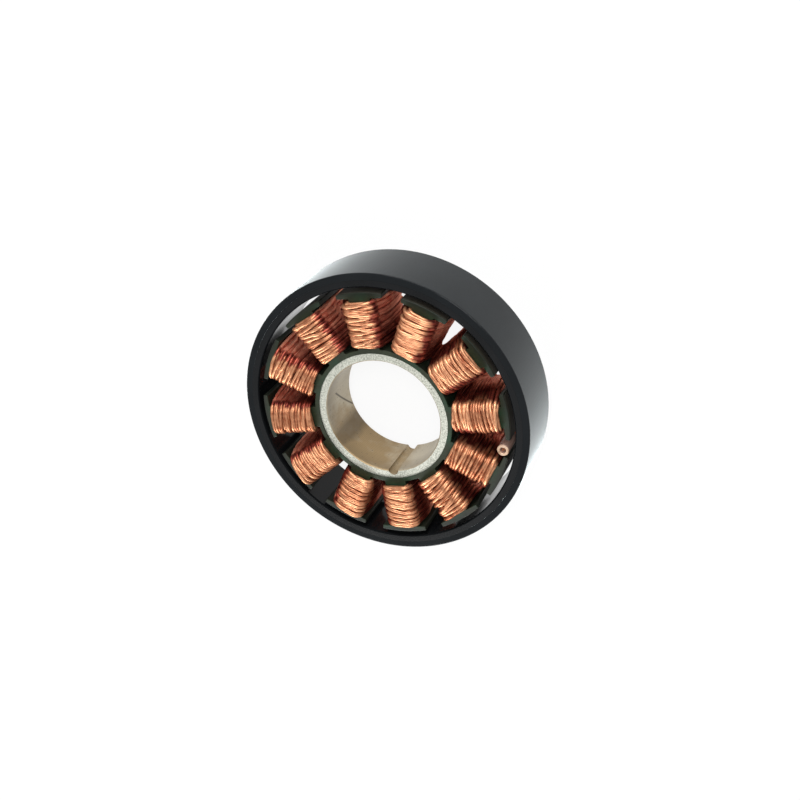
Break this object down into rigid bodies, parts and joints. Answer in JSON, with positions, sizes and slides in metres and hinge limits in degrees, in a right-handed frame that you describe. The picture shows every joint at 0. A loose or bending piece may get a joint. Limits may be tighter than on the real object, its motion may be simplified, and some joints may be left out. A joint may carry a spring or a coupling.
{
  "type": "frameless motor",
  "caption": "Frameless motor: a short black ring rotor round a wound stator with copper coils on green coated teeth and a keyed bore.",
  "frame": {"origin": "centre of the rotor's rear face, on the motor's axis", "axes": "+Z along the motor's axis towards the front, with the key groove of the bore on -Y"},
  "size_m": [0.06, 0.06, 0.0159],
  "materials": {
    "black_rotor_coat": "satin black coat",
    "magnet_black": "smooth glossy black",
    "lamination_steel": "bare, fine grained",
    "green_epoxy": "powder coat, slight orange peel",
    "enamelled_copper": "enamelled copper wire",
    "sleeve_plastic": "pale insulating tube"
  },
  "bodies": {
    "stator": {"stator_core": "lamination_steel", "insulation_coat": "green_epoxy", "coil_01": "enamelled_copper", "coil_02": "enamelled_copper", "coil_03": "enamelled_copper", "coil_04": "enamelled_copper", "coil_05": "enamelled_copper", "coil_06": "enamelled_copper", "coil_07": "enamelled_copper", "coil_08": "enamelled_copper", "coil_09": "enamelled_copper", "coil_10": "enamelled_copper", "coil_11": "enamelled_copper", "coil_12": "enamelled_copper", "phase_link_u": "enamelled_copper", "phase_link_v": "enamelled_copper", "phase_link_w": "enamelled_copper", "lead_sleeve": "sleeve_plastic", "star_point_splice": "enamelled_copper"},
    "rotor": {"rotor_yoke": "black_rotor_coat", "magnet_ring": "magnet_black"}
  },
  "joints": [
    {"name": "rotor_spin", "type": "hinge", "parent": "stator", "child": "rotor", "pos_m": [0, 0, 0.007], "axis": [0, 0, 1], "continuous": true}
  ]
}
